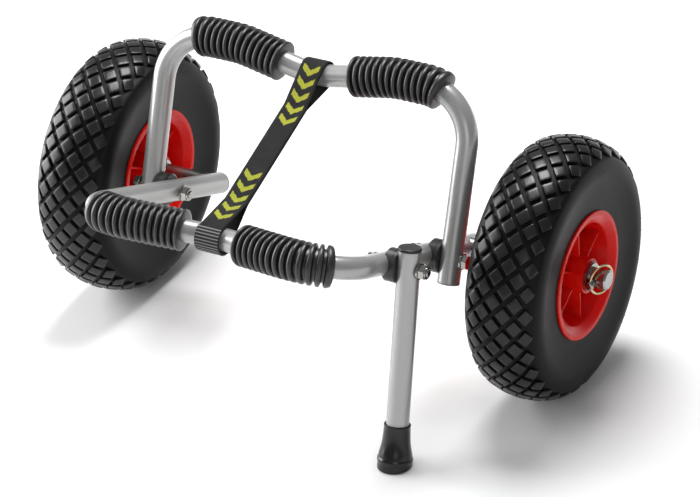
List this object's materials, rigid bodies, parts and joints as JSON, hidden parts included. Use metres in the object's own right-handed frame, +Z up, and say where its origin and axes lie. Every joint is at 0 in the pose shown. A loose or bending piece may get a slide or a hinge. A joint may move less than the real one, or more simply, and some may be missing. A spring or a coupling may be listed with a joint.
{
  "type": "kayak cart",
  "caption": "Folding two-wheeled cart for a kayak or canoe: hinged tube hoops with ribbed foam grips, strap, pin-on wheels and a folding kickstand.",
  "frame": {"origin": "on the floor, at the middle of the cart's plan box", "axes": "+Z up, X along the wheel axle with the kickstand on the +X side, the low front bar towards -Y"},
  "size_m": [0.602, 0.38, 0.3294],
  "materials": {
    "tube": "satin, clear anodised tube",
    "axle": "turned rod",
    "grip_foam": "matt closed-cell foam",
    "black_plastic": "moulded, lightly grained",
    "foot_rubber": "moulded",
    "zinc_steel": "bright zinc plate",
    "webbing": "woven webbing with a yellow-green woven pattern",
    "tyre_rubber": "moulded block tread",
    "core_foam": "closed-cell foam filling",
    "rim_plastic": "glossy red moulding",
    "bush_plastic": "plain bearing plastic"
  },
  "bodies": {
    "front_frame": {"front_hoop": "tube", "arm_end_plugs": "black_plastic", "left_axle_stub": "axle", "right_axle_stub": "axle", "left_front_grip": "grip_foam", "right_front_grip": "grip_foam", "left_arm_saddle": "black_plastic", "right_arm_saddle": "black_plastic", "stand_arm_saddle": "black_plastic", "left_pivot_bolt": "zinc_steel", "right_pivot_bolt": "zinc_steel", "left_pivot_nut": "zinc_steel", "right_pivot_nut": "zinc_steel", "left_pivot_washers": "zinc_steel", "right_pivot_washers": "zinc_steel", "stand_bolt": "zinc_steel", "stand_nut": "zinc_steel", "stand_washers": "zinc_steel", "left_thrust_washers": "zinc_steel", "right_thrust_washers": "zinc_steel", "left_stop_pin": "zinc_steel", "right_stop_pin": "zinc_steel", "left_retaining_pin": "zinc_steel", "right_retaining_pin": "zinc_steel", "strap": "webbing", "strap_patch": "webbing"},
    "rear_frame": {"rear_hoop": "tube", "leg_end_plugs": "black_plastic", "left_rear_grip": "grip_foam", "right_rear_grip": "grip_foam", "left_leg_saddle": "black_plastic", "right_leg_saddle": "black_plastic"},
    "kickstand": {"stand_tube": "tube", "stand_cap": "black_plastic", "stand_foot": "foot_rubber", "stand_tube_saddle": "black_plastic"},
    "left_wheel": {"left_tyre": "tyre_rubber", "left_foam_core": "core_foam", "left_rim_outer_half": "rim_plastic", "left_rim_inner_half": "rim_plastic", "left_rim_screws": "zinc_steel", "left_outer_bush": "bush_plastic", "left_inner_bush": "bush_plastic"},
    "right_wheel": {"right_tyre": "tyre_rubber", "right_foam_core": "core_foam", "right_rim_outer_half": "rim_plastic", "right_rim_inner_half": "rim_plastic", "right_rim_screws": "zinc_steel", "right_outer_bush": "bush_plastic", "right_inner_bush": "bush_plastic"},
    "left_ring": {"left_snap_ring": "zinc_steel"},
    "right_ring": {"right_snap_ring": "zinc_steel"}
  },
  "joints": [
    {"name": "rear_frame_fold", "type": "hinge", "parent": "front_frame", "child": "rear_frame", "pos_m": [0, -0.01019, 0.15908], "axis": [1, 0, 0], "range_deg": [0, 62], "deforming": ["strap"]},
    {"name": "kickstand_fold", "type": "hinge", "parent": "front_frame", "child": "kickstand", "pos_m": [0.1694, -0.09149, 0.19276], "axis": [-1, 0, 0], "range_deg": [0, 99]},
    {"name": "left_wheel_spin", "type": "hinge", "parent": "front_frame", "child": "left_wheel", "pos_m": [-0.243, 0.06002, 0.13], "axis": [1, 0, 0], "continuous": true},
    {"name": "right_wheel_spin", "type": "hinge", "parent": "front_frame", "child": "right_wheel", "pos_m": [0.243, 0.06002, 0.13], "axis": [1, 0, 0], "continuous": true},
    {"name": "left_ring_flip", "type": "hinge", "parent": "front_frame", "child": "left_ring", "pos_m": [-0.2881, 0.04522, 0.13], "axis": [0, 0, 1], "range_deg": [-20, 80]},
    {"name": "right_ring_flip", "type": "hinge", "parent": "front_frame", "child": "right_ring", "pos_m": [0.2881, 0.04522, 0.13], "axis": [0, 0, -1], "range_deg": [-20, 80]}
  ]
}
